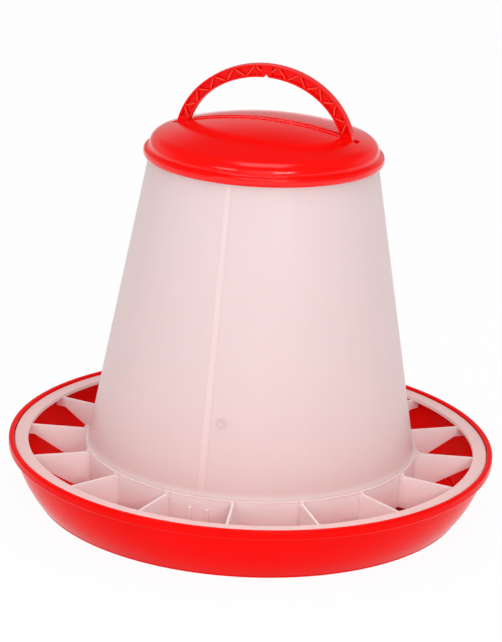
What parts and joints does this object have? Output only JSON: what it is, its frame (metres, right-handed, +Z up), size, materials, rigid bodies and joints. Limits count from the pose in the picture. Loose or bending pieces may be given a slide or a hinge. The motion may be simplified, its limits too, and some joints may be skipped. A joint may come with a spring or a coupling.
{
  "type": "hopper feeder",
  "caption": "Poultry hopper feeder: tapered translucent hopper with a finned feeding ring, standing in a round pan, under a domed lid with an arched carrying handle.",
  "frame": {"origin": "centre of the pan's underside, on the ground the feeder stands on", "axes": "+Z up along the feeder's round axis; +X along the handle's arch, across the lid"},
  "size_m": [0.35, 0.35, 0.3168],
  "materials": {
    "pan_red": "smooth injection-moulded polypropylene, satin gloss",
    "hopper_white": "natural translucent polypropylene, milky, softly glossy",
    "lid_red": "smooth injection-moulded polypropylene, glossy",
    "handle_red": "smooth injection-moulded polypropylene, glossy"
  },
  "bodies": {
    "root": {"feed_pan": "pan_red", "hopper": "hopper_white", "lid": "lid_red", "handle": "handle_red"}
  },
  "joints": []
}
